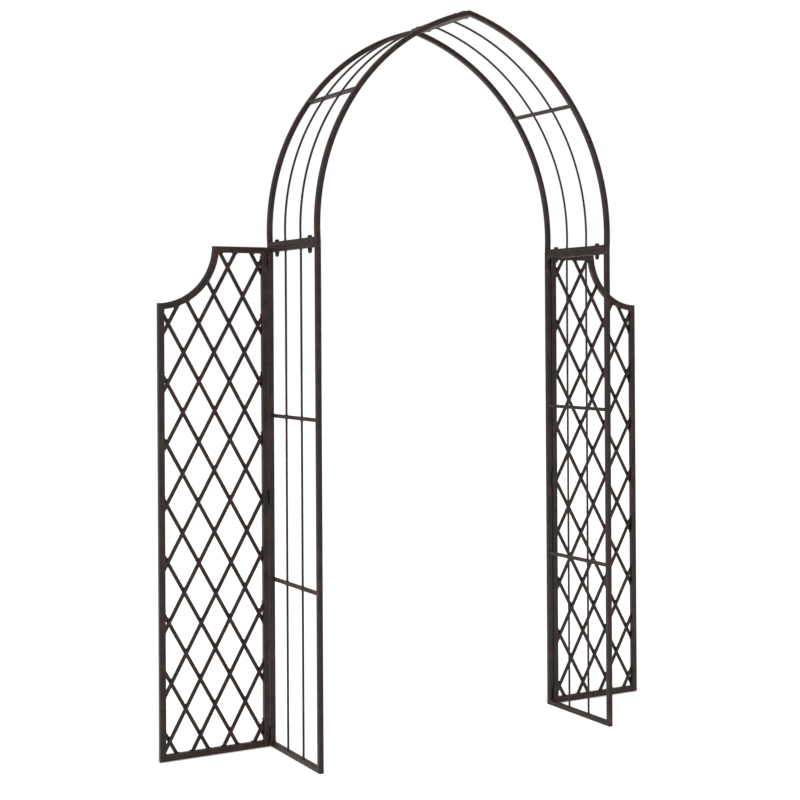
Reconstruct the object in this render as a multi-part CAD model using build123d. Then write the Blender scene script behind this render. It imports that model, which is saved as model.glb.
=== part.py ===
from build123d import *
import os
from math import acos, asin, atan2, cos, degrees, hypot, radians, sin, sqrt

# Metal garden trellis arch: two ladder-like side panels (legs) carry a pointed arch made of two bolted
# halves, and a lattice wing is hinged to the rear post of each leg.
# Millimetres. X across the walkway, Y from front to rear, Z up. Origin on the ground, at the middle.

# ---- overall ----
SPAN = 1095.0            # across the outside of the two legs
DEPTH = 363.0            # front to rear over the posts
LEG_HEIGHT = 1600.0      # ground to the joint between leg and arch
APEX_HEIGHT = 2350.0     # ground to the point of the arch
ARC_CENTRE_HEIGHT = 1648.0   # height where the arch is widest

# ---- sections ----
TUBE = 16.0              # square tube of legs and arch, and the depth of the wings
WALL = 1.2
CORNER = 2.2             # outside corner radius of the tubes
RUNG = 11.0              # square tube of the mid rails
WIRE = 7.0               # round rod
WIRE_Y = 56.0            # rods stand this far either side of the middle

# ---- wings ----
GAP = 4.0                # between a leg's rear post and its wing
WING_WIDTH = 370.0
WING_TUBE = 20.0         # width of the wing frame's tube, in its own plane
WING_LIFT = 3.0          # the wings hang just clear of the ground so that they can swing
SCOOP_RADIUS = 184.0     # upper edge of the hollow quarter circle at the outer top corner
SCOOP_HEIGHT = 1604.0    # height of its centre, above the outer post
BAR = 11.0               # lattice bar, width seen from the front
BAR_DEPTH = 5.0          # the two layers fill the rear part of the frame
CELL_WIDTH = 103.0       # lattice diamonds
CELL_HEIGHT = 184.0
FIRST_CROSSING = (28.5, 64.5)   # first crossing, from the wing's inner edge and from the ground
# Bars that stand off the even spacing, by number, and how far, square to the bar and upwards.
STRAY_RISING = {-7: -3, -6: 4, -5: 4, -4: 5, -3: 1, -2: -4, -1: -6, 0: -2, 1: -1, 2: 3}
STRAY_FALLING = {1: 2, 2: 3, 3: -2, 4: -10, 5: -2, 6: 2, 7: 2, 8: 3, 9: 2}

# ---- hinges ----
BARREL = 6.8
PIN = 4.0
HINGE_HEIGHT = 45.0
HINGE_FEET = (18.0, 777.5, 1536.0)   # lower end of each hinge, clear of the leg's rails
KNUCKLE_GAP = 0.5
LEAF = 1.6
LEAF_DEPTH = 12.0
AXIS_OFFSET = 3.5        # pin axis stands this far in front of the posts

# ---- M8 fastenings ----
BOLT = 8.0
BOLT_HOLE = 8.4
HEX = 13.0               # across flats
HEAD_HEIGHT = 5.3
WASHER_OD = 16.0
WASHER = 1.6
BOLT_LENGTH = 45.0
NUT_HEIGHT = 6.5
CAP_NUT_HEIGHT = 15.0
NUT_BORE_DEPTH = 11.5
BOLT_Y = 120.0

FRONT, REAR = -DEPTH / 2, DEPTH / 2
LEG_X = SPAN / 2 - TUBE / 2           # centre plane of the right leg
INNER_Y = DEPTH / 2 - TUBE            # inside faces of the front and rear tubes
WING_Y = REAR - TUBE / 2              # centre plane of the wings
WING_X = SPAN / 2 + GAP               # inner edge of the right wing
WING_END = WING_X + WING_WIDTH
HINGE_X = SPAN / 2 + GAP / 2
HINGE_Y = REAR - TUBE - AXIS_OFFSET

# The arch's outer edge is an arc through the leg corner and the apex, its centre beyond the middle.
ARC_OFFSET = ((APEX_HEIGHT - ARC_CENTRE_HEIGHT) ** 2 - (LEG_HEIGHT - ARC_CENTRE_HEIGHT) ** 2
              - (SPAN / 2) ** 2) / SPAN
ARC_RADIUS = hypot(ARC_OFFSET, APEX_HEIGHT - ARC_CENTRE_HEIGHT)
ARC_MID = ARC_RADIUS - TUBE / 2
MID_RAIL_HEIGHTS = [TUBE + (LEG_HEIGHT - 2 * TUBE) * n / 3 for n in (1, 2)]
ARCH_RAIL_ANGLE = 36.5
RIDGE_Z = APEX_HEIGHT - TUBE / 2

PARTS = {}


def section(width, depth, wall=WALL, corner=CORNER):
    """Rounded rectangular ring: width across, depth along the panel's thickness."""
    bore = RectangleRounded(width - 2 * wall, depth - 2 * wall, max(corner - wall, 0.3))
    return RectangleRounded(width, depth, corner) - bore


def straight(start, end, across, profile):
    """Tube from start to end; across is the direction of the profile's width."""
    run = Vector(*end) - Vector(*start)
    plane = Plane(origin=start, x_dir=across, z_dir=run.normalized())
    return extrude(plane * profile, amount=run.length)


def bend(centre_x, centre_z, radius, start, end, y, profile):
    """Tube bent in the XZ plane about a centre, from the start angle to the end angle (degrees)."""
    out = Vector(cos(radians(start)), 0, sin(radians(start)))
    along = Vector(-sin(radians(start)), 0, cos(radians(start)))
    origin = Vector(centre_x, y, centre_z) + out * radius
    plane = Plane(origin=origin, x_dir=out, z_dir=along)
    axis = Axis((centre_x, y, centre_z), (0, -1, 0))
    return revolve(plane * profile, axis=axis, revolution_arc=end - start)


def trim(part, point, keep):
    """Cut square through a point; keep is the direction of the side that stays."""
    plane = Plane(origin=point, z_dir=keep)
    return split(part, bisect_by=plane, keep=Keep.TOP)


def mitre(part, outer, inner, towards):
    """Cut along the line from an outer to an inner corner, keeping the side a third point is on."""
    a, b, c = Vector(*outer), Vector(*inner), Vector(*towards)
    line = (b - a).normalized()
    side = (c - a) - line * (c - a).dot(line)
    return trim(part, outer, side.normalized())


def both_sides(name, part):
    """Store a right-hand part and its mirror image on the left."""
    PARTS["right_" + name] = part
    PARTS["left_" + name] = mirror(part, about=Plane.YZ)


def drill(part, points, direction, diameter, length=60.0):
    for point in points:
        hole = Cylinder(diameter / 2, length)
        part -= Plane(origin=point, z_dir=direction) * hole
    return part


# ---------------------------------------------------------------- legs
main = section(TUBE, TUBE)
rung = section(RUNG, RUNG, 1.0, 1.0)
leg_out, leg_in = SPAN / 2, SPAN / 2 - TUBE
middle = (LEG_X, 0, LEG_HEIGHT / 2)
low, high = TUBE / 2, LEG_HEIGHT - TUBE / 2

for name, y in (("front_post", FRONT), ("rear_post", REAR)):
    inward = 1 if y < 0 else -1
    mid_y = y + inward * TUBE / 2
    post = straight((LEG_X, mid_y, 0), (LEG_X, mid_y, LEG_HEIGHT), (1, 0, 0), main)
    for z, step in ((0, TUBE), (LEG_HEIGHT, -TUBE)):
        post = mitre(post, (LEG_X, y, z), (LEG_X, y + inward * TUBE, z + step), (LEG_X, y, LEG_HEIGHT / 2))
    both_sides("leg_" + name, post)

for name, z in (("bottom_rail", 0), ("top_rail", LEG_HEIGHT)):
    inward = 1 if z == 0 else -1
    mid_z = z + inward * TUBE / 2
    rail = straight((LEG_X, FRONT, mid_z), (LEG_X, REAR, mid_z), (1, 0, 0), main)
    for y, step in ((FRONT, TUBE), (REAR, -TUBE)):
        rail = mitre(rail, (LEG_X, y, z), (LEG_X, y + step, z + inward * TUBE), (LEG_X, 0, z))
    if name == "top_rail":
        rail = drill(rail, [(LEG_X, y, mid_z) for y in (-BOLT_Y, BOLT_Y)], (0, 0, 1), BOLT_HOLE)
    both_sides("leg_" + name, rail)

for name, z in zip(("lower_rail", "upper_rail"), MID_RAIL_HEIGHTS):
    rail = straight((LEG_X, -INNER_Y, z), (LEG_X, INNER_Y, z), (1, 0, 0), rung)
    rail = drill(rail, [(LEG_X, y, z) for y in (-WIRE_Y, WIRE_Y)], (0, 0, 1), WIRE + 0.2)
    both_sides("leg_" + name, rail)

rods = [straight((LEG_X, y, TUBE), (LEG_X, y, LEG_HEIGHT - TUBE), (1, 0, 0), Circle(WIRE / 2))
        for y in (-WIRE_Y, WIRE_Y)]
both_sides("leg_rods", Compound(children=rods))

# ---------------------------------------------------------------- arch halves
foot_angle = degrees(asin((LEG_HEIGHT - 30 - ARC_CENTRE_HEIGHT) / ARC_MID))
tip_angle = degrees(acos((ARC_OFFSET - 20) / ARC_MID))


def arch_bend(y, profile):
    return bend(-ARC_OFFSET, ARC_CENTRE_HEIGHT, ARC_MID, foot_angle, tip_angle, y, profile)


for name, y in (("front_tube", FRONT + TUBE / 2), ("rear_tube", REAR - TUBE / 2)):
    tube = trim(arch_bend(y, main), (0, y, LEG_HEIGHT), (0, 0, 1))
    both_sides("arch_" + name, trim(tube, (0, y, 0), (1, 0, 0)))

spring_z = LEG_HEIGHT + TUBE / 2
spring = straight((LEG_X, -INNER_Y, spring_z), (LEG_X, INNER_Y, spring_z), (1, 0, 0), main)
spring = drill(spring, [(LEG_X, y, spring_z) for y in (-BOLT_Y, BOLT_Y)], (0, 0, 1), BOLT_HOLE)
both_sides("arch_spring_rail", spring)

ridge = straight((TUBE / 2, -INNER_Y, RIDGE_Z), (TUBE / 2, INNER_Y, RIDGE_Z), (1, 0, 0), main)
ridge = drill(ridge, [(TUBE / 2, y, RIDGE_Z) for y in (-BOLT_Y, BOLT_Y)], (1, 0, 0), BOLT_HOLE)
both_sides("arch_ridge_rail", ridge)

radial = Vector(cos(radians(ARCH_RAIL_ANGLE)), 0, sin(radians(ARCH_RAIL_ANGLE)))
tangent = Vector(-radial.Z, 0, radial.X)
rail_centre = Vector(-ARC_OFFSET, 0, ARC_CENTRE_HEIGHT) + radial * ARC_MID
rail_ends = [tuple(rail_centre + Vector(0, y, 0)) for y in (-INNER_Y, INNER_Y)]
rod_holes = [tuple(rail_centre + Vector(0, y, 0)) for y in (-WIRE_Y, WIRE_Y)]
arch_rail = drill(straight(*rail_ends, tuple(radial), rung), rod_holes, tangent, WIRE + 0.2)
both_sides("arch_mid_rail", arch_rail)

rods = []
for y in (-WIRE_Y, WIRE_Y):
    rod = trim(arch_bend(y, Circle(WIRE / 2)), (0, y, LEG_HEIGHT + TUBE), (0, 0, 1))
    rods.append(trim(rod, (TUBE, y, 0), (1, 0, 0)))
both_sides("arch_rods", Compound(children=rods))

# ---------------------------------------------------------------- wings
wing_tube = section(WING_TUBE, TUBE)
post_in, post_out = WING_X + WING_TUBE, WING_END - WING_TUBE
scoop_low = SCOOP_RADIUS + WING_TUBE
under = LEG_HEIGHT - WING_TUBE        # underside of the top rail
rim = WING_END - sqrt(SCOOP_RADIUS ** 2 - (SCOOP_HEIGHT - LEG_HEIGHT) ** 2)
rim_low = WING_END - sqrt(scoop_low ** 2 - (SCOOP_HEIGHT - under) ** 2)
shoulder = SCOOP_HEIGHT - SCOOP_RADIUS
shoulder_low = SCOOP_HEIGHT - sqrt(scoop_low ** 2 - WING_TUBE ** 2)
corners = {
    "foot_in": ((WING_X, WING_Y, WING_LIFT), (post_in, WING_Y, WING_LIFT + WING_TUBE)),
    "foot_out": ((WING_END, WING_Y, WING_LIFT), (post_out, WING_Y, WING_LIFT + WING_TUBE)),
    "head_in": ((WING_X, WING_Y, LEG_HEIGHT), (post_in, WING_Y, under)),
    "head_scoop": ((rim, WING_Y, LEG_HEIGHT), (rim_low, WING_Y, under)),
    "post_scoop": ((WING_END, WING_Y, shoulder), (post_out, WING_Y, shoulder_low)),
}


def wing_member(part, ends, inside):
    for end in ends:
        part = mitre(part, *corners[end], inside)
    return part


def upright(x, top):
    return straight((x, WING_Y, 0), (x, WING_Y, top), (1, 0, 0), wing_tube)


def crosswise(z, end):
    return straight((WING_X, WING_Y, z), (end, WING_Y, z), (0, 0, 1), wing_tube)


wing_members = {
    "inner_post": (upright(WING_X + WING_TUBE / 2, LEG_HEIGHT),
                   ("foot_in", "head_in"), (WING_X, WING_Y, LEG_HEIGHT / 2)),
    "outer_post": (upright(WING_END - WING_TUBE / 2, shoulder + 5),
                   ("foot_out", "post_scoop"), (WING_END, WING_Y, LEG_HEIGHT / 2)),
    "bottom_rail": (crosswise(WING_LIFT + WING_TUBE / 2, WING_END),
                    ("foot_in", "foot_out"), ((WING_X + WING_END) / 2, WING_Y, 0)),
    "top_rail": (crosswise(LEG_HEIGHT - WING_TUBE / 2, rim + 10),
                 ("head_in", "head_scoop"), (WING_X + 80, WING_Y, LEG_HEIGHT)),
    "scoop_tube": (bend(WING_END, SCOOP_HEIGHT, SCOOP_RADIUS + WING_TUBE / 2, 180, 270, WING_Y, wing_tube),
                   ("head_scoop", "post_scoop"),
                   (WING_END - SCOOP_RADIUS * 0.75, WING_Y, SCOOP_HEIGHT - SCOOP_RADIUS * 0.75)),
}
for name, (part, ends, inside) in wing_members.items():
    both_sides("wing_" + name, wing_member(part, ends, inside))

# Lattice: two layers of parallel bars, clipped to the inside of the frame.
opening = Pos((post_in + post_out) / 2, (LEG_HEIGHT + WING_LIFT) / 2) * Rectangle(
    post_out - post_in, LEG_HEIGHT - WING_LIFT - 2 * WING_TUBE)
opening -= Pos(WING_END, SCOOP_HEIGHT) * Circle(scoop_low)
bar_angle = degrees(atan2(CELL_HEIGHT, CELL_WIDTH))


def lattice(slope, layer_y):
    """One layer of bars on the right wing; slope +1 rises outwards, -1 falls outwards."""
    bars, strays = [], STRAY_RISING if slope > 0 else STRAY_FALLING
    face_plane = Plane(origin=(0, layer_y + BAR_DEPTH / 2, 0), x_dir=(1, 0, 0), z_dir=(0, -1, 0))
    for n in range(-10, 14):
        x = WING_X + FIRST_CROSSING[0] + n * CELL_WIDTH
        line = Pos(x, FIRST_CROSSING[1]) * Rot(0, 0, slope * bar_angle) * Pos(0, strays.get(n, 0))
        strip = line * Rectangle(6000, BAR)
        for face in (opening & strip).faces():
            if face.area > 2 * BAR * BAR:
                bars.append(extrude(face_plane * face, amount=BAR_DEPTH))
    return Compound(children=bars)


front_layer, rear_layer = REAR - BAR_DEPTH * 1.5, REAR - BAR_DEPTH / 2
PARTS["right_wing_lattice_rising"] = lattice(1, front_layer)
PARTS["right_wing_lattice_falling"] = lattice(-1, rear_layer)
PARTS["left_wing_lattice_rising"] = mirror(lattice(-1, front_layer), about=Plane.YZ)
PARTS["left_wing_lattice_falling"] = mirror(lattice(1, rear_layer), about=Plane.YZ)

# ---------------------------------------------------------------- hinges
knuckle = (HINGE_HEIGHT - 2 * KNUCKLE_GAP) / 3
leaf_front = HINGE_Y + BARREL / 2 + 0.5
leaf_rear = REAR - TUBE + LEAF_DEPTH


def box_between(x0, x1, y0, y1, z0, z1):
    return Pos((x0 + x1) / 2, (y0 + y1) / 2, (z0 + z1) / 2) * Box(x1 - x0, y1 - y0, z1 - z0)


def hinge_half(foot, levels, outward):
    """Leaf and knuckles of one hinge half; outward +1 is the wing's half, -1 the leg's."""
    face = HINGE_X + outward * GAP / 2
    inner = face - outward * LEAF
    x0, x1 = min(face, inner), max(face, inner)
    half = box_between(x0, x1, leaf_front, leaf_rear, foot, foot + HINGE_HEIGHT)
    for level in levels:
        z = foot + level * (knuckle + KNUCKLE_GAP)
        half += Pos(HINGE_X, HINGE_Y, z + knuckle / 2) * Cylinder(BARREL / 2, knuckle)
        half += box_between(x0, x1 - (0.1 if outward > 0 else 0), HINGE_Y, leaf_front, z, z + knuckle)
    return drill(half, [(HINGE_X, HINGE_Y, foot + HINGE_HEIGHT / 2)], (0, 0, 1), PIN + 0.1, HINGE_HEIGHT + 2)


both_sides("hinge_leg_halves", Compound(children=[hinge_half(z, (0, 2), -1) for z in HINGE_FEET]))
both_sides("hinge_wing_halves", Compound(children=[hinge_half(z, (1,), 1) for z in HINGE_FEET]))

pins = []
for foot in HINGE_FEET:
    pin = Pos(HINGE_X, HINGE_Y, foot + HINGE_HEIGHT / 2) * Cylinder(PIN / 2, HINGE_HEIGHT)
    head = Pos(HINGE_X, HINGE_Y, foot + HINGE_HEIGHT + 0.75) * Cylinder(PIN / 2 + 1.0, 1.5)
    pins.append(pin + fillet(head.edges().group_by(Axis.Z)[-1], 0.8))
both_sides("hinge_pins", Compound(children=pins))

# ---------------------------------------------------------------- bolts, washers and cap nuts
grip = 2 * TUBE + 2 * WASHER


def hexagon():
    return RegularPolygon(HEX / 2, 6, major_radius=False)


def bolt():
    """Stands head up with the underside of its head at the origin."""
    head = extrude(hexagon(), amount=HEAD_HEIGHT)
    head &= Pos(0, 0, HEAD_HEIGHT / 2) * chamfer(
        Cylinder(HEX / 2 / cos(radians(30)), HEAD_HEIGHT).edges().group_by(Axis.Z)[-1], 0.9)
    shank = Pos(0, 0, -BOLT_LENGTH / 2) * chamfer(
        Cylinder(BOLT / 2, BOLT_LENGTH).edges().group_by(Axis.Z)[0], 0.8)
    return head + shank


def cap_nut():
    """Domed nut hanging down from the origin, bored for the end of the bolt."""
    dome_radius = HEX / 2 - 0.4
    nut = Pos(0, 0, -NUT_HEIGHT) * extrude(hexagon(), amount=NUT_HEIGHT)
    neck = CAP_NUT_HEIGHT - NUT_HEIGHT - dome_radius
    nut += Pos(0, 0, -NUT_HEIGHT - neck / 2) * Cylinder(dome_radius, neck)
    dome = Sphere(dome_radius) & Pos(0, 0, -dome_radius) * Box(20, 20, 2 * dome_radius)
    nut += Pos(0, 0, -NUT_HEIGHT - neck) * dome
    return nut - Pos(0, 0, -NUT_BORE_DEPTH / 2) * Cylinder(BOLT / 2 + 0.05, NUT_BORE_DEPTH)


washer = Pos(0, 0, WASHER / 2) * (Cylinder(WASHER_OD / 2, WASHER) - Cylinder(BOLT_HOLE / 2, WASHER))


def fastenings(name, stations):
    """Bolt, two washers and cap nut at each station, a plane on the head side with its normal outwards."""
    nuts = [p * Pos(0, 0, WASHER - grip) * cap_nut() for p in stations]
    PARTS[name + "_bolts"] = Compound(children=[p * Pos(0, 0, WASHER) * bolt() for p in stations])
    PARTS[name + "_washers"] = Compound(
        children=[p * Pos(0, 0, z) * washer for p in stations for z in (0, -2 * TUBE - WASHER)])
    PARTS[name + "_cap_nuts"] = Compound(children=nuts)


fastenings("springing", [Plane(origin=(x, y, LEG_HEIGHT + TUBE), x_dir=(1, 0, 0), z_dir=(0, 0, 1))
                         for x in (-LEG_X, LEG_X) for y in (-BOLT_Y, BOLT_Y)])
fastenings("ridge", [Plane(origin=(-TUBE, y, RIDGE_Z), x_dir=(0, 1, 0), z_dir=(-1, 0, 0))
                     for y in (-BOLT_Y, BOLT_Y)])

os.makedirs("parts", exist_ok=True)
for node, part in PARTS.items():
    export_step(part, f"parts/{node}.step")
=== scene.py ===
"""Pointed garden trellis arch with two hinged lattice wings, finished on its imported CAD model."""

import bpy
import numpy as np
from bpy.props import FloatProperty, FloatVectorProperty, PointerProperty
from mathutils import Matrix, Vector


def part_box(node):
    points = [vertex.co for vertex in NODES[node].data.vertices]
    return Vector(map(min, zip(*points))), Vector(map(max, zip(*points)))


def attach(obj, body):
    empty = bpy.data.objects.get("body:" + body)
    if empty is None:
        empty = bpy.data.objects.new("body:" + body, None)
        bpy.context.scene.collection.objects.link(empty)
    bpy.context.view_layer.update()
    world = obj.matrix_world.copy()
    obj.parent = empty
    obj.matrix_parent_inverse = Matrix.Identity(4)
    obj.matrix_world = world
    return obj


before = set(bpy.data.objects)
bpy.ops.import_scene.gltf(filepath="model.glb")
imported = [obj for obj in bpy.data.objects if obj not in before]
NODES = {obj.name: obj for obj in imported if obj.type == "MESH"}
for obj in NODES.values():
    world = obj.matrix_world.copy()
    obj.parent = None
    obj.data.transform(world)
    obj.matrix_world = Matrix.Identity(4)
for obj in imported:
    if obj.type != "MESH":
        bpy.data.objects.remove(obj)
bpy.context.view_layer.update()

bl_info = {
    "name": "Trellis Arch",
    "version": (1, 0, 0),
    "blender": (4, 5, 0),
    "location": "View3D > Sidebar > Trellis Arch",
    "description": "Powder coat, weld beads and a plain studio for a metal garden arch "
                   "with lattice wings",
    "category": "Add Mesh",
}

# New pieces are worked out for the right side; each side's factors mirror them to it.
SIDES = (("left", (-1.0, 1.0, 1.0)), ("right", (1.0, 1.0, 1.0)))


def both_sides(*names):
    """Names of the left and right nodes."""
    return [f"{side}_{name}" for side, _ in SIDES for name in names]


def corners(node):
    """Lowest and highest corner of a CAD node as arrays, in metres."""
    return tuple(np.array(corner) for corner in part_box(node))


def srgb(code):
    """Linear red, green and blue of an sRGB hex colour such as "2f2523"."""
    share = np.array([int(code[i:i + 2], 16) for i in (0, 2, 4)]) / 255.0
    linear = np.where(share <= 0.04045, share / 12.92, ((share + 0.055) / 1.055) ** 2.4)
    return tuple(linear.tolist())


# ---------------------------------------------------------------- user settings
class TrellisFinish(bpy.types.PropertyGroup):
    """Colours and wear of the powder coat"""
    coat: FloatVectorProperty(name="Coat", description="Colour of the powder coat",
                              subtype="COLOR", size=3, min=0, max=1, default=srgb("1c100c"))
    pale: FloatVectorProperty(name="Pale coat", description="Where the coat is thin or dusty",
                              subtype="COLOR", size=3, min=0, max=1, default=srgb("3c2924"))
    rust: FloatVectorProperty(name="Rust", description="Rust bloom round welds, hinges and feet",
                              subtype="COLOR", size=3, min=0, max=1, default=srgb("6c4526"))
    gloss: FloatProperty(name="Coat roughness", description="Roughness of the powder coat",
                         subtype="FACTOR", min=0, max=1, default=0.4)
    # Painted shade: how much the coat is darkened in the grooves between tubes, where ambient
    # occlusion finds little open air.
    painted_shade: FloatProperty(name="Painted shade", description="How much the grooves are filled with grime",
                         subtype="FACTOR", min=0, max=1, default=0.85)
    sheen: FloatProperty(name="Coat sheen", description="Strength of the coat's mirror reflection",
                         subtype="FACTOR", min=0, max=1, default=0.32)


class TrellisWelds(bpy.types.PropertyGroup):
    """Sizes of the weld beads, and of what they are laid on"""
    fillet: FloatProperty(name="Fillet", description="Radius of the bead in an inside corner",
                          unit="LENGTH", min=0, default=0.0019)
    seam: FloatProperty(name="Seam", description="Half-width of the bead over a mitred joint",
                        unit="LENGTH", min=0, default=0.0022)
    crown: FloatProperty(name="Crown", description="Height of a mitre bead above the tube",
                         unit="LENGTH", min=0, default=0.0004)
    ripple: FloatProperty(name="Ripple", description="Distance between a bead's ripples",
                          unit="LENGTH", min=0.0005, default=0.0018)
    dab: FloatProperty(name="Dab", description="Radius of the dab beside a lattice bar's end",
                       unit="LENGTH", min=0, default=0.0033)
    collar: FloatProperty(name="Collar", description="Radius of the weld round a rod",
                          unit="LENGTH", min=0, default=0.0052)
    cell: FloatVectorProperty(name="Lattice cell", unit="LENGTH", size=2, default=(0.103, 0.184),
                              description="Width and height of a lattice diamond")
    bar: FloatProperty(name="Lattice bar", description="Width of a lattice bar",
                       unit="LENGTH", default=0.011)
    rail_angle: FloatProperty(name="Arch rail angle", subtype="ANGLE", default=np.radians(36.5),
                              description="Where the arch's mid rail is on the arc")


class TrellisStudio(bpy.types.PropertyGroup):
    """Floor, lights and camera"""
    floor: FloatVectorProperty(name="Floor", description="Colour of the floor",
                               subtype="COLOR", size=3, min=0, max=1, default=srgb("f8f7f6"))
    glow: FloatProperty(name="Floor glow", description="Light that comes up from the floor",
                        default=0.22)
    reach: FloatProperty(name="Floor radius", description="How far the floor runs",
                         unit="LENGTH", default=45.0)
    sky: FloatProperty(name="Room light", description="Strength of the light from all round",
                       default=0.5)
    top: FloatProperty(name="Top light", description="Strength of the light overhead", default=1.7)
    key: FloatProperty(name="Key light", description="Power of the softbox in front",
                       unit="POWER", default=32.0)
    stand: FloatVectorProperty(name="Key stand", description="Where the softbox stands",
                               subtype="XYZ", unit="LENGTH", size=3, default=(-1.5, -3.5, 1.9))
    eye: FloatVectorProperty(name="Camera", description="Where the camera stands", subtype="XYZ",
                             unit="LENGTH", size=3, default=(-2.5396, -4.2664, 1.3270))
    aim: FloatVectorProperty(name="Aim", description="Camera's tilt from level, roll and turn",
                             subtype="EULER", size=3, default=(0.00326, 0.00563, -0.50868))
    lens: FloatProperty(name="Lens", description="Focal length in millimetres", default=67.97)
    lift: FloatProperty(name="Shift", description="Vertical lens shift that frames the whole arch",
                        default=-0.0914)


# ---------------------------------------------------------------- materials
# Scales of the coat's patterns in metres: its uneven thickness, its dust and rust bloom, and its
# orange peel, which is really about 1 mm across and is drawn coarser so that it shows.
CLOUDS, BLOTCHES, PEEL = 0.045, 0.011, 0.0022
PEEL_DEPTH = 0.0003
# How strongly the coat is rubbed off the tubes' corners.
RUB = 4.5
# How far from the inside of a groove the painted shade reaches, and how dark it is beside the coat:
# the coat is darkened where ambient occlusion finds little open air.
PAINTED_SHADE_REACH, PAINTED_SHADE_TONE = 0.012, 0.3
# Rust at heights from the floor, as shares of RUST_TOP in metres: most at the foot, and in a band
# where the legs and the arch meet.
RUST_TOP = 2.4
RUST_BANDS = ((0.0, 1.0), (0.035, 0.35), (0.62, 0.1), (0.655, 0.8), (0.678, 0.8), (0.70, 0.15))
# The edge direction of a surface that has no corners to rub.
NO_EDGE = (0.0, 0.0, 0.0)


def add(tree, kind, inputs=None, **settings):
    """Add a node with its settings; inputs are sockets to link or values to set."""
    node = tree.nodes.new(kind)
    for key, value in settings.items():
        setattr(node, key, value)
    for key, value in (inputs or {}).items():
        if isinstance(value, bpy.types.NodeSocket):
            tree.links.new(value, node.inputs[key])
        else:
            node.inputs[key].default_value = value
    return node


def rgba(colour):
    """A colour with its alpha."""
    return (*colour, 1.0)


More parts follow.
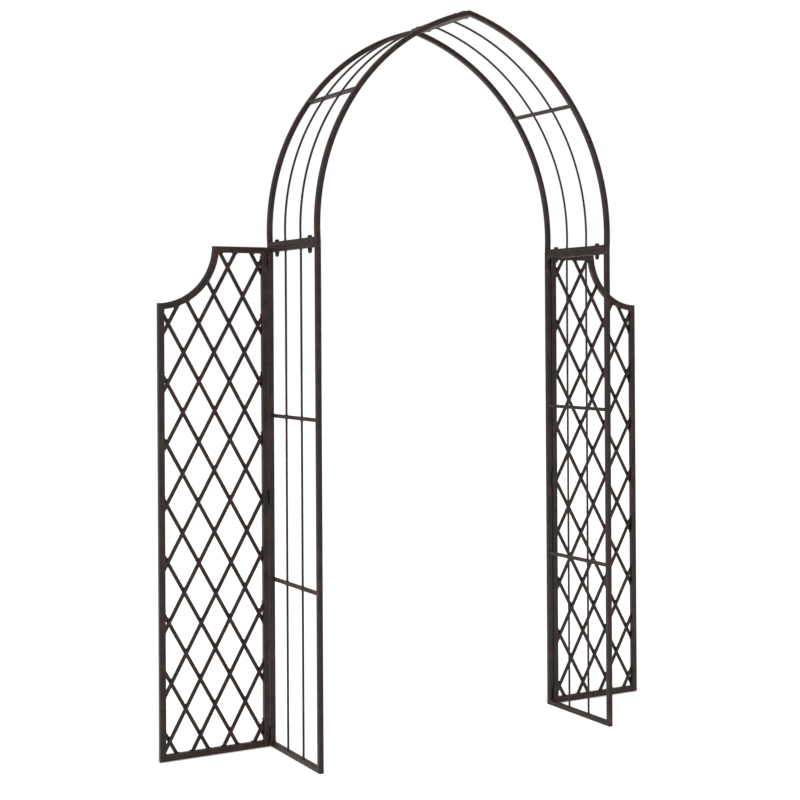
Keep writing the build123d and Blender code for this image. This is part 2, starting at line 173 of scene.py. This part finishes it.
def powder_coat(name, rust=0.3, edge=(0.0, 1.0, 0.0), rounding=0.0, tint=1.0, spread=False):
    """Powder-coated mild steel. The eye gets a near-black brown that is slightly satin and faintly
    pebbled, paler where the coat is thin on the tube's corners, with brown rust bloom round the
    joints, and painted shade that darkens the grooves between tubes. edge is the direction across
    the tube, so that its corners are where the normal is between it and the face. spread puts the
    rust at every height, and leaves out the painted shade."""
    finish = bpy.context.scene.trellis_finish
    material = bpy.data.materials.new(name)
    material.use_nodes = True
    tree = material.node_tree
    tree.nodes.clear()
    place = add(tree, "ShaderNodeTexCoord")
    where = place.outputs["Object"]
    clouds = add(tree, "ShaderNodeTexNoise",
                 {"Vector": where, "Scale": 1 / CLOUDS, "Detail": 4.0, "Roughness": 0.6})
    blotch = add(tree, "ShaderNodeTexNoise",
                 {"Vector": where, "Scale": 1 / BLOTCHES, "Detail": 5.0, "Roughness": 0.65})
    peel = add(tree, "ShaderNodeTexNoise",
               {"Vector": where, "Scale": 1 / PEEL, "Detail": 2.0, "Roughness": 0.5})
    thin = add(tree, "ShaderNodeMapRange",
               {"Value": clouds.outputs["Fac"], "From Min": 0.42, "From Max": 0.66,
                "To Min": 0.0, "To Max": 0.55})
    # Corners: c (1 - c), with c the squared cosine of the angle from the normal to the edge
    # direction. It is a quarter halfway round a corner and nothing on the faces.
    turn = add(tree, "ShaderNodeVectorMath", {0: place.outputs["Normal"], 1: edge},
               operation="DOT_PRODUCT")
    squared = add(tree, "ShaderNodeMath", {0: turn.outputs["Value"], 1: turn.outputs["Value"]},
                  operation="MULTIPLY")
    rest = add(tree, "ShaderNodeMath", {0: 1.0, 1: squared.outputs[0]}, operation="SUBTRACT")
    corner = add(tree, "ShaderNodeMath", {0: squared.outputs[0], 1: rest.outputs[0]},
                 operation="MULTIPLY")
    rubbed = add(tree, "ShaderNodeMath", {0: corner.outputs[0], 1: blotch.outputs["Fac"]},
                 operation="MULTIPLY")
    worn = add(tree, "ShaderNodeMath", {0: rubbed.outputs[0], 1: RUB, 2: thin.outputs[0]},
               operation="MULTIPLY_ADD", use_clamp=True)
    # Rust: the bands, broken up by the blotches.
    height = add(tree, "ShaderNodeSeparateXYZ", {"Vector": where}).outputs["Z"]
    share = add(tree, "ShaderNodeMath", {0: height, 1: RUST_TOP}, operation="DIVIDE")
    band = add(tree, "ShaderNodeValToRGB", {"Fac": share.outputs[0]})
    stops = band.color_ramp.elements
    stops.remove(stops[-1])
    for spot, grey in RUST_BANDS:
        stop = stops.new(spot) if spot else stops[0]
        stop.color = (grey, grey, grey, 1)
    bloom = add(tree, "ShaderNodeMapRange",
                {"Value": blotch.outputs["Fac"], "From Min": 0.5, "From Max": 0.68,
                 "To Min": 0.0, "To Max": rust})
    patch = add(tree, "ShaderNodeMath",
                {0: bloom.outputs[0], 1: 1.0 if spread else band.outputs["Color"]},
                operation="MULTIPLY")
    colour = add(tree, "ShaderNodeMix",
                 {"Factor": worn.outputs[0], "A": rgba(np.array(finish.coat) * tint),
                  "B": rgba(np.array(finish.pale) * tint)}, data_type="RGBA")
    colour = add(tree, "ShaderNodeMix",
                 {"Factor": patch.outputs[0], "A": colour.outputs["Result"],
                  "B": rgba(finish.rust)}, data_type="RGBA")
    # Painted shade: the coat is darkened in the grooves between tubes, where ambient occlusion
    # finds little open air.
    open_air = add(tree, "ShaderNodeAmbientOcclusion", {"Distance": PAINTED_SHADE_REACH}, samples=8)
    groove = add(tree, "ShaderNodeMapRange",
                 {"Value": open_air.outputs["AO"], "From Min": 0.4, "From Max": 0.85,
                  "To Min": 0.0 if spread else finish.painted_shade, "To Max": 0.0})
    colour = add(tree, "ShaderNodeMix",
                 {"Factor": groove.outputs[0], "A": colour.outputs["Result"],
                  "B": rgba(np.array(finish.coat) * PAINTED_SHADE_TONE)}, data_type="RGBA")
    dull = add(tree, "ShaderNodeMapRange",
               {"Value": blotch.outputs["Fac"], "From Min": 0.3, "From Max": 0.7,
                "To Min": finish.gloss - 0.06, "To Max": finish.gloss + 0.1})
    relief = {"Height": peel.outputs["Fac"], "Strength": 0.35, "Distance": PEEL_DEPTH}
    if rounding:
        soft = add(tree, "ShaderNodeBevel", {"Radius": rounding}, samples=6)
        relief["Normal"] = soft.outputs["Normal"]
    bump = add(tree, "ShaderNodeBump", relief)
    shader = add(tree, "ShaderNodeBsdfPrincipled",
                 {"Base Color": colour.outputs["Result"], "Roughness": dull.outputs[0],
                  "Normal": bump.outputs["Normal"], "IOR": 1.5, "Specular IOR Level": finish.sheen})
    add(tree, "ShaderNodeOutputMaterial", {"Surface": shader.outputs["BSDF"]})
    return material


def dress(names, material):
    """Give CAD nodes a material in their own slots."""
    for name in names:
        node = NODES[name]
        node.data.materials.clear()
        node.data.materials.append(material)


def weld_material():
    """The weld beads' coat, rustier and a little paler than the tubes'; made once."""
    name = "powder_coated_weld_bead"
    return bpy.data.materials.get(name) or powder_coat(name, rust=0.9, tint=1.35, spread=True)


# ---------------------------------------------------------------- weld beads
# Each bead's size is drawn from SIZE_RANGE, and wavers by about WAVER along it. Its crests stand
# CREST of its height up or down, and bow back by BOW radians of the ripple at the sides.
SIZE_RANGE, WAVER, CREST, BOW = (0.85, 1.12), 0.08, 0.1, 1.6
# Rings of points along a bead: in an inside corner of two tubes, over a mitre, down a hinge leaf.
CORNER_RINGS, MITRE_RINGS, LEAF_RINGS = 26, 44, 70
# A bead in a corner ends CORNER_GAP short of the tubes' faces, and a mitre bead LIP short of the
# outer corner.
CORNER_GAP, LIP = 0.001, 0.002
# The part of a tube's side that a bead covers where the tube butts on another.
BUTT_SHARE = 0.9


def beads(seams, half_width, height, rings, ripple, seed, sides=8):
    """Closed weld beads over straight seams, an array (n, 3, 3) of start, end and outward
    direction. At share t of its seam the section is an ellipse, half_width * s across and
    height * s outwards, with s = (1 - (2t - 1)^4)^0.5, so that both ends close to a pole. The
    height swells by a cosine of the distance along the seam, whose crests bow back at the sides
    like fallen coins, and each bead's size varies a little."""
    chance = np.random.default_rng(seed)
    seams = np.asarray(seams, float).reshape(-1, 3, 3)
    start, end = seams[:, 0], seams[:, 1]
    outward = seams[:, 2] / np.linalg.norm(seams[:, 2], axis=1, keepdims=True)
    run = end - start
    length = np.linalg.norm(run, axis=1)
    along = run / length[:, None]
    across = np.cross(outward, along)
    t = np.linspace(0, 1, rings + 2)[1:-1]
    angle = np.arange(sides) / sides * 2 * np.pi
    swell = np.sqrt(1 - (2 * t - 1) ** 4)[None, :, None]
    size = chance.uniform(*SIZE_RANGE, (len(seams), 1, 1))
    size = size * (1 + WAVER * chance.standard_normal((len(seams), rings, 1)))
    phase = 2 * np.pi * length[:, None, None] / ripple * t[None, :, None] - BOW * np.cos(angle) ** 2
    crest = 1 + CREST * np.cos(phase)
    centre = start[:, None, None] + run[:, None, None] * t[None, :, None, None]
    wide = (half_width * swell * size * np.cos(angle))[..., None]
    high = (height * swell * size * crest * np.sin(angle))[..., None]
    points = centre + across[:, None, None] * wide + outward[:, None, None] * high
    points = points.reshape(len(seams), -1, 3)
    verts = np.concatenate([points, start[:, None], end[:, None]], axis=1)
    # Quads between the rings, and a fan of triangles from each pole, the last two points of a bead.
    count = rings * sides + 2
    j = np.arange(sides)
    k = (j + 1) % sides
    last = (rings - 1) * sides
    ring = np.arange(rings - 1)[:, None] * sides
    quads = np.stack([ring + j, ring + k, ring + sides + k, ring + sides + j], -1).reshape(-1, 4)
    caps = np.concatenate([np.stack([np.full(sides, count - 2), k, j], -1),
                           np.stack([np.full(sides, count - 1), last + j, last + k], -1)])
    shift = (np.arange(len(seams)) * count)[:, None, None]
    return verts.reshape(-1, 3), (quads + shift).reshape(-1, 4), (caps + shift).reshape(-1, 3)


def weld(name, groups, body):
    """One piece from several groups of beads, riding on a CAD body."""
    verts, faces, used = [], [], 0
    for points, quads, caps in groups:
        verts.append(points)
        faces += (quads + used).tolist() + (caps + used).tolist()
        used += len(points)
    mesh = bpy.data.meshes.new(name)
    mesh.from_pydata(np.concatenate(verts), [], faces)
    mesh.shade_smooth()
    mesh.materials.append(weld_material())
    piece = bpy.data.objects.new(name, mesh)
    bpy.context.scene.collection.objects.link(piece)
    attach(piece, body)


def weld_both(name, part, groups):
    """A piece on each side, whose groups are beads' seams on the right side and the rest of what
    beads() is given. part is what they ride on: the arch, or each side's wing."""
    for side, flip in SIDES:
        weld(f"{side}_{name}", [beads(seams * flip, *rest) for seams, *rest in groups],
             part if part == "arch" else f"{side}_{part}")


def around(centre, u, v, half_u, half_v, back):
    """Four seams round the end of a square tube that butts on a face. u and v are its section's
    directions, and back points along the tube away from the face; each seam stands at half_u or
    half_v from the centre and faces out of the corner, half outwards, half back."""
    centre, u, v, back = (np.array(a, float) for a in (centre, u, v, back))
    rows = []
    for a, b, half_a, half_b in ((u, v, half_u, half_v), (v, u, half_v, half_u)):
        for sign in (1, -1):
            middle = centre + sign * a * half_a
            reach = b * half_b * BUTT_SHARE
            rows.append((middle - reach, middle + reach, sign * a + back))
    return np.array(rows)


def ends(rail):
    """Where a rail ends at the front and rear tubes, and which way along it leads back."""
    low, high = corners(rail)
    return (low[1], 1), (high[1], -1)


def butts(rail):
    """Seams round both ends of a level rail that butts on the front and rear tubes."""
    low, high = corners(rail)
    middle, half = (low + high) / 2, (high - low) / 2
    return [around((middle[0], y, middle[2]), (1, 0, 0), (0, 0, 1), half[0], half[2],
                   (0, inward, 0)) for y, inward in ends(rail)]


def weld_legs():
    """Beads round the ends of the two middle rails, and at each corner of the leg: one along the
    inside corner, and one down the mitre on each flat side, from the outer to the inside corner."""
    sizes = bpy.context.scene.trellis_welds
    (x0, rear, _), (x1, _, top) = corners("right_leg_rear_post")
    tube = x1 - x0
    inside = butts("right_leg_lower_rail") + butts("right_leg_upper_rail")
    mitres = []
    for y, inward in ((-rear, 1), (rear, -1)):
        for z, up, edge in ((tube, 1, 0.0), (top - tube, -1, top)):
            inside.append(np.array([[(x0 + CORNER_GAP, y, z), (x1 - CORNER_GAP, y, z),
                                     (0, inward, up)]]))
            outer = (y - inward * (tube - LIP), edge + up * LIP)
            for x, face in ((x0, -1), (x1, 1)):
                mitres.append([(x, *outer), (x, y, z), (face, 0, 0)])
    weld_both("leg_welds", "arch",
              [(np.concatenate(inside), sizes.fillet, sizes.fillet, CORNER_RINGS, sizes.ripple, 11),
               (np.array(mitres), sizes.seam, sizes.crown, MITRE_RINGS, sizes.ripple, 12)])


def rail_square():
    """The arch's mid rail: its middle, outward and upward directions and half its section's side.
    Its box is as wide as the turned square's two sides, so half of that is the half side times
    the angle's sine and cosine together."""
    low, high = corners("right_arch_mid_rail")
    angle = bpy.context.scene.trellis_welds.rail_angle
    cosine, sine = np.cos(angle), np.sin(angle)
    out, up = np.array((cosine, 0, sine)), np.array((-sine, 0, cosine))
    return (low + high) / 2, out, up, (high[0] - low[0]) / 2 / (cosine + sine)


def weld_arches():
    """Beads round the ends of the spring rail, apart from its underside, which rests on the leg; of
    the ridge rail, on its outer side and underside; and of the mid rail, turned to the arc."""
    sizes = bpy.context.scene.trellis_welds
    seams = []
    for spring, ridge in zip(butts("right_arch_spring_rail"), butts("right_arch_ridge_rail")):
        seams += [spring[[0, 1, 2]], ridge[[0, 3]]]
    middle, out, up, half = rail_square()
    for y, inward in ends("right_arch_mid_rail"):
        seams.append(around((middle[0], y, middle[2]), out, up, half, half, (0, inward, 0)))
    weld_both("arch_welds", "arch",
              [(np.concatenate(seams), sizes.fillet, sizes.fillet, CORNER_RINGS, sizes.ripple, 21)])


# A collar reaches COLLAR_REACH along its rod each way, with COLLAR_RIPPLE between its ripples.
COLLAR_REACH, COLLAR_RIPPLE, COLLAR_RINGS, COLLAR_SIDES = 0.0026, 0.004, 7, 14
# The arch rods' feet stand FOOT_STEP inside their widest place, and at the ridge they slope so.
FOOT_STEP, RIDGE_SLOPE = 0.0003, (1, 0, -0.26)


def rod_seams(points, direction):
    """Short seams centred on points, lying along a rod; the outward direction is any across it."""
    points, direction = np.asarray(points, float), np.asarray(direction, float)
    step = direction / np.linalg.norm(direction) * COLLAR_REACH
    outward = np.broadcast_to((0.0, 1.0, 0.0), points.shape)
    return np.stack([points - step, points + step, outward], axis=1)


def weld_rods():
    """A collar round each rod where it meets a rail: a short closed bead whose axis is the rod's.
    The spots are at the rails' faces in the XZ plane, and the rods stand at y to either side."""
    sizes = bpy.context.scene.trellis_welds
    low, high = corners("right_leg_rods")
    radius = (high[0] - low[0]) / 2
    x, y = (low[0] + high[0]) / 2, high[1] - radius
    levels = [low[2], high[2]] + [corner[2] for rail in ("lower", "upper")
                                  for corner in corners(f"right_leg_{rail}_rail")]
    middle, _, up, half = rail_square()
    low, high = corners("right_arch_rods")
    rows = (([(x, z) for z in levels], (0, 0, 1)),
            ([(middle + up * half * way)[[0, 2]] for way in (-1, 1)], up),
            ([(high[0] - radius - FOOT_STEP, low[2])], (0, 0, 1)),
            ([(low[0], high[2] - radius)], RIDGE_SLOPE))
    seams = np.concatenate([
        rod_seams([(a, way * y, b) for way in (-1, 1) for a, b in spots], along)
        for spots, along in rows])
    weld_both("rod_welds", "arch",
              [(seams, sizes.collar, sizes.collar, COLLAR_RINGS, COLLAR_RIPPLE, 31, COLLAR_SIDES)])


def wing_corners():
    """Outer and inner corner of each joint of the right wing's frame in the XZ plane, and the
    centre and radius of the lower edge of its hollow. The hollow's upper edge is the arc that
    leaves the outer post's outer edge square and meets the top rail's end, so with a across and
    d down between them its radius is (a^2 + d^2) / 2d."""
    (x0, _, z0), (x1, _, z1) = corners("right_wing_inner_post")
    (post, _, _), (end, _, shoulder) = corners("right_wing_outer_post")
    rail = corners("right_wing_bottom_rail")[1][2]
    under, rim = corners("right_wing_top_rail")[0][2], corners("right_wing_top_rail")[1][0]
    radius = ((end - rim) ** 2 + (z1 - shoulder) ** 2) / (2 * (z1 - shoulder))
    hollow, big = np.array((end, shoulder + radius)), radius + rail - z0
    outer = np.array([(x0, z0), (end, z0), (x0, z1), (rim, z1), (end, shoulder)])
    inner = np.array([(x1, rail), (post, rail), (x1, under),
                      (end - np.sqrt(big ** 2 - (hollow[1] - under) ** 2), under),
                      (post, hollow[1] - np.sqrt(big ** 2 - (end - post) ** 2))])
    return outer, inner, hollow, big


def weld_wings():
    """Beads at the five joints of each wing's frame: one through each inside corner from front to
    rear, and one over each mitre on the front, from the outer to the inner corner."""
    sizes = bpy.context.scene.trellis_welds
    outer, inner, _, _ = wing_corners()
    front, rear = (corner[1] for corner in corners("right_wing_inner_post"))
    faces = ((1, 0, 1), (-1, 0, 1), (1, 0, -1), (0.2, 0, -1), (-1, 0, -0.2))
    inside = np.array([[(x, front + CORNER_GAP, z), (x, rear - CORNER_GAP, z), face]
                       for (x, z), face in zip(inner, faces)])
    step = (inner - outer) / np.linalg.norm(inner - outer, axis=1, keepdims=True) * LIP
    mitres = np.array([[(a, front, b), (c, front, d), (0, -1, 0)]
                       for (a, b), (c, d) in zip(outer + step, inner)])
    weld_both("wing_welds", "wing",
              [(inside, sizes.fillet, sizes.fillet, CORNER_RINGS, sizes.ripple, 41),
               (mitres, sizes.seam, sizes.crown, MITRE_RINGS, sizes.ripple, 42)])


# A gap of BAR_SPACE between points parts one lattice bar from the next.
BAR_SPACE = 0.02
# A point is on the frame's inner edge, or on its hollow's, when it is no further from it than this.
ON_EDGE, ON_HOLLOW = 5e-5, 1e-4
# A dab beside a bar's end starts DAB_START in front of the bars and stops DAB_STOP short of their
# rear.
DAB_START, DAB_STOP, DAB_RINGS, DAB_RIPPLE = 0.0002, 0.0001, 6, 0.006
# A tack's reach up and down from its middle, its half-width, and its height as a share of a bar's
# depth.
TACK_REACH, TACK_WIDTH, TACK_HEIGHT, TACK_RINGS, TACK_RIPPLE = 0.0035, 0.0023, 0.42, 5, 0.006
# Crossings nearer than this to the frame's straight tubes and to the hollow have no tacks.
CLEAR_TUBE, CLEAR_HOLLOW = 0.008, 0.012


def bar_lines(points, square):
    """Middles of a layer's parallel bars: the points' distances along the direction square to the
    bars, sorted, fall into one run for each bar, and its middle is halfway along the run."""
    across = np.sort(points[:, [0, 2]] @ square)
    cut = np.flatnonzero(np.diff(across) > BAR_SPACE)
    return (across[np.concatenate([[0], cut + 1])] + across[np.concatenate([cut, [-1]])]) / 2


def weld_lattice():
    """Dabs beside each bar's end, one bead from front to rear at each of the bar's corners that is
    on the frame's inner edge; and tacks above and below each crossing, where one bar's side meets
    the other bar's face. A point on both lines has -x sine + z cosine of the rising bar's middle
    and x sine + z cosine of the falling bar's."""
    sizes = bpy.context.scene.trellis_welds
    _, inner, hollow, big = wing_corners()
    low, high = inner.min(axis=0), np.array((inner[1][0], inner[2][1]))
    cell = np.array(sizes.cell)
    cosine, sine = cell / np.linalg.norm(cell)
    groups, lines = [], []
    for layer, way in (("rising", 1), ("falling", -1)):
        node = NODES[f"right_wing_lattice_{layer}"]
        points = np.empty(len(node.data.vertices) * 3)
        node.data.vertices.foreach_get("co", points)
        points = points.reshape(-1, 3)
        lines.append(bar_lines(points, np.array((-way * sine, cosine))))
        flat = points[:, [0, 2]]
        edge = np.abs(np.linalg.norm(flat - hollow, axis=1) - big) < ON_HOLLOW
        for corner in (low, high):
            edge |= np.abs(flat - corner).min(axis=1) < ON_EDGE
        tips = np.unique(np.round(flat[edge], 4), axis=0)
        front, rear = points[:, 1].min(), points[:, 1].max()
        seams = np.stack([np.insert(tips, 1, front - DAB_START, axis=1),
                          np.insert(tips, 1, rear - DAB_STOP, axis=1),
                          np.broadcast_to((1.0, 0.0, 0.0), (len(tips), 3))], axis=1)
        groups.append((seams, sizes.dab, sizes.dab, DAB_RINGS, DAB_RIPPLE, 51))
    rise, fall = (axis.ravel() for axis in np.meshgrid(*lines, indexing="ij"))
    cross = np.stack([(fall - rise) / (2 * sine), (fall + rise) / (2 * cosine)], axis=1)
    inside = ((cross > low + CLEAR_TUBE) & (cross < high - CLEAR_TUBE)).all(axis=1)
    inside &= np.linalg.norm(cross - hollow, axis=1) > big + CLEAR_HOLLOW
    cross = cross[inside]
    y = corners("right_wing_lattice_rising")[1][1]
    for way in (1, -1):
        spots = np.insert(cross + (0, way * sizes.bar / 2 / cosine), 1, y, axis=1)
        seams = np.stack([spots - (0, 0, TACK_REACH), spots + (0, 0, TACK_REACH),
                          np.broadcast_to((0.0, 1.0, 0.0), spots.shape)], axis=1)
        groups.append((seams, TACK_WIDTH, (rear - front) * TACK_HEIGHT, TACK_RINGS, TACK_RIPPLE,
                       53 + way))
    weld_both("lattice_welds", "wing", groups)


# Height of a hinge, as in the CAD, whose hinges are one node; how far a leaf's bead stops short of
# its ends; and the bead's size beside a fillet's.
HINGE_HEIGHT, LEAF_GAP, LEAF_BEAD = 0.045, 0.003, 0.85


def weld_hinges():
    """A bead down each hinge leaf's rear edge, in the corner that it makes with its post."""
    sizes = bpy.context.scene.trellis_welds
    (_, _, bottom), (_, rear, top) = corners("right_hinge_leg_halves")
    feet = (bottom, (bottom + top - HINGE_HEIGHT) / 2, top - HINGE_HEIGHT)
    radius = sizes.fillet * LEAF_BEAD
    for post, part, x, face in (("leg", "arch", corners("right_leg_rear_post")[1][0], 1),
                                ("wing", "wing", corners("right_wing_inner_post")[0][0], -1)):
        seams = np.array([[(x, rear, z + LEAF_GAP), (x, rear, z + HINGE_HEIGHT - LEAF_GAP),
                           (face, 1, 0)] for z in feet])
        weld_both(f"hinge_{post}_welds", part,
                  [(seams, radius, radius, LEAF_RINGS, sizes.ripple, 61)])


# ---------------------------------------------------------------- studio
# Where the lamp overhead hangs and which way it shines, and the spot that the softbox is turned to.
OVERHEAD, DOWNWARD, KEY_SPOT = (0, 0, 4), (0.1, 0.15, -1.0), (-0.1, 0, 1.1)
WHITE = (1, 1, 1, 1)


def disc(radius, inner=2.0, rings=6, spokes=96):
    """A flat disc: the point at ring r and spoke a is r * (cos a, sin a, 0), with the rings spaced
    evenly in the logarithm of r from inner to radius, closed by a fan at the centre."""
    r = np.geomspace(inner, radius, rings)
    a = np.arange(spokes) / spokes * 2 * np.pi
    r = r[:, None]
    points = np.stack([r * np.cos(a), r * np.sin(a), np.zeros((rings, spokes))], -1)
    j = np.arange(spokes)
    k = (j + 1) % spokes
    ring = np.arange(rings - 1)[:, None] * spokes
    quads = np.stack([ring + j, ring + spokes + j, ring + spokes + k, ring + k], -1).reshape(-1, 4)
    fan = np.stack([np.full(spokes, rings * spokes), j, k], -1)
    return np.concatenate([points.reshape(-1, 3), np.zeros((1, 3))]), quads.tolist() + fan.tolist()


def lamp(name, kind, strength, place, aim, **settings):
    """A soft lamp standing at place and shining along aim."""
    light = bpy.data.lights.new(name, kind)
    light.energy = strength
    for key, value in settings.items():
        setattr(light, key, value)
    holder = bpy.data.objects.new(name, light)
    holder.location = place
    holder.rotation_euler = Vector(aim).to_track_quat("-Z", "Y").to_euler()
    holder.visible_camera = False
    bpy.context.scene.collection.objects.link(holder)


def set_studio():
    """A floor disc, a white room, two lamps and the camera."""
    scene, studio = bpy.context.scene, bpy.context.scene.trellis_studio
    mesh = bpy.data.meshes.new("studio_floor")
    points, faces = disc(studio.reach)
    mesh.from_pydata(points, [], faces)
    floor = bpy.data.objects.new("studio_floor", mesh)
    scene.collection.objects.link(floor)
    # Matt white paint on a lit floor: pale, with no sheen of its own.
    paint = bpy.data.materials.new("matt_white_floor_paint")
    paint.use_nodes = True
    tree = paint.node_tree
    tree.nodes.clear()
    matt = add(tree, "ShaderNodeBsdfDiffuse", {"Color": rgba(studio.floor), "Roughness": 1.0})
    glow = add(tree, "ShaderNodeEmission", {"Color": rgba(studio.floor), "Strength": studio.glow})
    lit = add(tree, "ShaderNodeAddShader", {0: matt.outputs[0], 1: glow.outputs[0]})
    add(tree, "ShaderNodeOutputMaterial", {"Surface": lit.outputs[0]})
    mesh.materials.append(paint)

    # The room lights the arch at the sky's strength, and is plain white behind it.
    world = bpy.data.worlds.new("studio_room")
    world.use_nodes = True
    tree = world.node_tree
    tree.nodes.clear()
    seen = add(tree, "ShaderNodeLightPath").outputs["Is Camera Ray"]
    room = add(tree, "ShaderNodeBackground", {"Color": WHITE, "Strength": studio.sky})
    backdrop = add(tree, "ShaderNodeBackground", {"Color": WHITE, "Strength": 1.0})
    shown = add(tree, "ShaderNodeMixShader", {0: seen, 1: room.outputs[0], 2: backdrop.outputs[0]})
    add(tree, "ShaderNodeOutputWorld", {"Surface": shown.outputs[0]})
    scene.world = world
    lamp("top_softbox", "SUN", studio.top, OVERHEAD, DOWNWARD, angle=np.radians(70))
    lamp("front_softbox", "AREA", studio.key, studio.stand, Vector(KEY_SPOT) - Vector(studio.stand),
         size=1.5)

    lens = bpy.data.cameras.new("studio_camera")
    lens.lens, lens.sensor_width, lens.shift_y = studio.lens, 36.0, studio.lift
    lens.clip_start, lens.clip_end = 0.05, 200.0
    camera = bpy.data.objects.new("studio_camera", lens)
    camera.location = studio.eye
    camera.rotation_euler = (np.pi / 2 + studio.aim[0], studio.aim[1], studio.aim[2])
    scene.collection.objects.link(camera)
    scene.camera = camera
    scene.view_settings.view_transform = "Standard"


# ---------------------------------------------------------------- operators
class TRELLIS_OT_coat_tubes(bpy.types.Operator):
    """Powder coat the posts, rails and arch tubes"""
    bl_idname = "trellis.coat_tubes"
    bl_label = "Coat Tubes"

    def execute(self, context):
        dress(both_sides("leg_rear_post", "leg_front_post", "arch_front_tube", "arch_rear_tube",
                         "wing_inner_post", "wing_outer_post", "wing_bottom_rail", "wing_top_rail",
                         "wing_scoop_tube"),
              powder_coat("powder_coated_steel_tube"))
        dress(both_sides("leg_top_rail", "leg_bottom_rail", "leg_upper_rail", "leg_lower_rail",
                         "arch_spring_rail", "arch_ridge_rail"),
              powder_coat("powder_coated_steel_rail", edge=(0, 0, 1)))
        angle = context.scene.trellis_welds.rail_angle
        for side, flip in SIDES:
            dress([f"{side}_arch_mid_rail"],
                  powder_coat(f"powder_coated_steel_{side}_rung",
                              edge=(flip[0] * np.cos(angle), 0, np.sin(angle))))
        return {"FINISHED"}


class TRELLIS_OT_coat_rods(bpy.types.Operator):
    """Powder coat the round rods"""
    bl_idname = "trellis.coat_rods"
    bl_label = "Coat Rods"

    def execute(self, context):
        dress(both_sides("leg_rods", "arch_rods"),
              powder_coat("powder_coated_steel_rod", edge=NO_EDGE))
        return {"FINISHED"}


class TRELLIS_OT_coat_lattice(bpy.types.Operator):
    """Powder coat the lattice bars"""
    bl_idname = "trellis.coat_lattice"
    bl_label = "Coat Lattice"

    def execute(self, context):
        dress(both_sides("wing_lattice_rising", "wing_lattice_falling"),
              powder_coat("powder_coated_steel_bar", edge=NO_EDGE, rounding=0.0012))
        return {"FINISHED"}


class TRELLIS_OT_coat_hinges(bpy.types.Operator):
    """Coat the hinge leaves, knuckles and pins"""
    bl_idname = "trellis.coat_hinges"
    bl_label = "Coat Hinges"

    def execute(self, context):
        dress(both_sides("hinge_leg_halves", "hinge_wing_halves"),
              powder_coat("painted_hinge_steel", rust=1.0, edge=NO_EDGE))
        dress(both_sides("hinge_pins"),
              powder_coat("rubbed_hinge_pin_steel", rust=1.0, edge=NO_EDGE, tint=1.3))
        return {"FINISHED"}


class TRELLIS_OT_coat_fastenings(bpy.types.Operator):
    """Finish the bolts, washers and cap nuts"""
    bl_idname = "trellis.coat_fastenings"
    bl_label = "Coat Fastenings"

    def execute(self, context):
        dress([f"{place}_{part}" for place in ("springing", "ridge")
               for part in ("bolts", "washers", "cap_nuts")],
              powder_coat("black_oxide_fastener_steel", edge=NO_EDGE, tint=0.7))
        return {"FINISHED"}


class TRELLIS_OT_weld_legs(bpy.types.Operator):
    """Weld the side frames' rails and corners"""
    bl_idname = "trellis.weld_legs"
    bl_label = "Weld Legs"

    def execute(self, context):
        weld_legs()
        return {"FINISHED"}


class TRELLIS_OT_weld_arches(bpy.types.Operator):
    """Weld the arch halves' rails to their tubes"""
    bl_idname = "trellis.weld_arches"
    bl_label = "Weld Arches"

    def execute(self, context):
        weld_arches()
        return {"FINISHED"}


class TRELLIS_OT_weld_rods(bpy.types.Operator):
    """Weld collars where rods meet rails"""
    bl_idname = "trellis.weld_rods"
    bl_label = "Weld Rods"

    def execute(self, context):
        weld_rods()
        return {"FINISHED"}


class TRELLIS_OT_weld_wings(bpy.types.Operator):
    """Weld the corners of the wing frames"""
    bl_idname = "trellis.weld_wings"
    bl_label = "Weld Wings"

    def execute(self, context):
        weld_wings()
        return {"FINISHED"}


class TRELLIS_OT_weld_lattice(bpy.types.Operator):
    """Weld the lattice bars' ends and tack their crossings"""
    bl_idname = "trellis.weld_lattice"
    bl_label = "Weld Lattice"

    def execute(self, context):
        weld_lattice()
        return {"FINISHED"}


class TRELLIS_OT_weld_hinges(bpy.types.Operator):
    """Weld the hinge leaves to the posts"""
    bl_idname = "trellis.weld_hinges"
    bl_label = "Weld Hinges"

    def execute(self, context):
        weld_hinges()
        return {"FINISHED"}


class TRELLIS_OT_set_studio(bpy.types.Operator):
    """Set the floor, lights and camera"""
    bl_idname = "trellis.set_studio"
    bl_label = "Set Studio"

    def execute(self, context):
        set_studio()
        return {"FINISHED"}


STEPS = (TRELLIS_OT_coat_tubes, TRELLIS_OT_coat_rods, TRELLIS_OT_coat_lattice,
         TRELLIS_OT_coat_hinges, TRELLIS_OT_coat_fastenings, TRELLIS_OT_weld_legs,
         TRELLIS_OT_weld_arches, TRELLIS_OT_weld_rods, TRELLIS_OT_weld_wings,
         TRELLIS_OT_weld_lattice, TRELLIS_OT_weld_hinges, TRELLIS_OT_set_studio)
SETTINGS = (("trellis_finish", TrellisFinish), ("trellis_welds", TrellisWelds),
            ("trellis_studio", TrellisStudio))


class TRELLIS_PT_panel(bpy.types.Panel):
    """Settings and steps of the trellis arch"""
    bl_label = "Trellis Arch"
    bl_idname = "TRELLIS_PT_panel"
    bl_space_type = "VIEW_3D"
    bl_region_type = "UI"
    bl_category = "Trellis Arch"

    def draw(self, context):
        for name, group in SETTINGS:
            box = self.layout.box()
            for key in group.__annotations__:
                box.prop(getattr(context.scene, name), key)
        for step in STEPS:
            self.layout.operator(step.bl_idname)


def register():
    for name, group in SETTINGS:
        bpy.utils.register_class(group)
        setattr(bpy.types.Scene, name, PointerProperty(type=group))
    for kind in (*STEPS, TRELLIS_PT_panel):
        bpy.utils.register_class(kind)


def unregister():
    for kind in reversed((*STEPS, TRELLIS_PT_panel)):
        bpy.utils.unregister_class(kind)
    for name, group in reversed(SETTINGS):
        delattr(bpy.types.Scene, name)
        bpy.utils.unregister_class(group)


def main():
    register()
    for step in STEPS:
        family, name = step.bl_idname.split(".")
        getattr(getattr(bpy.ops, family), name)()


if __name__ == "__main__":
    main()
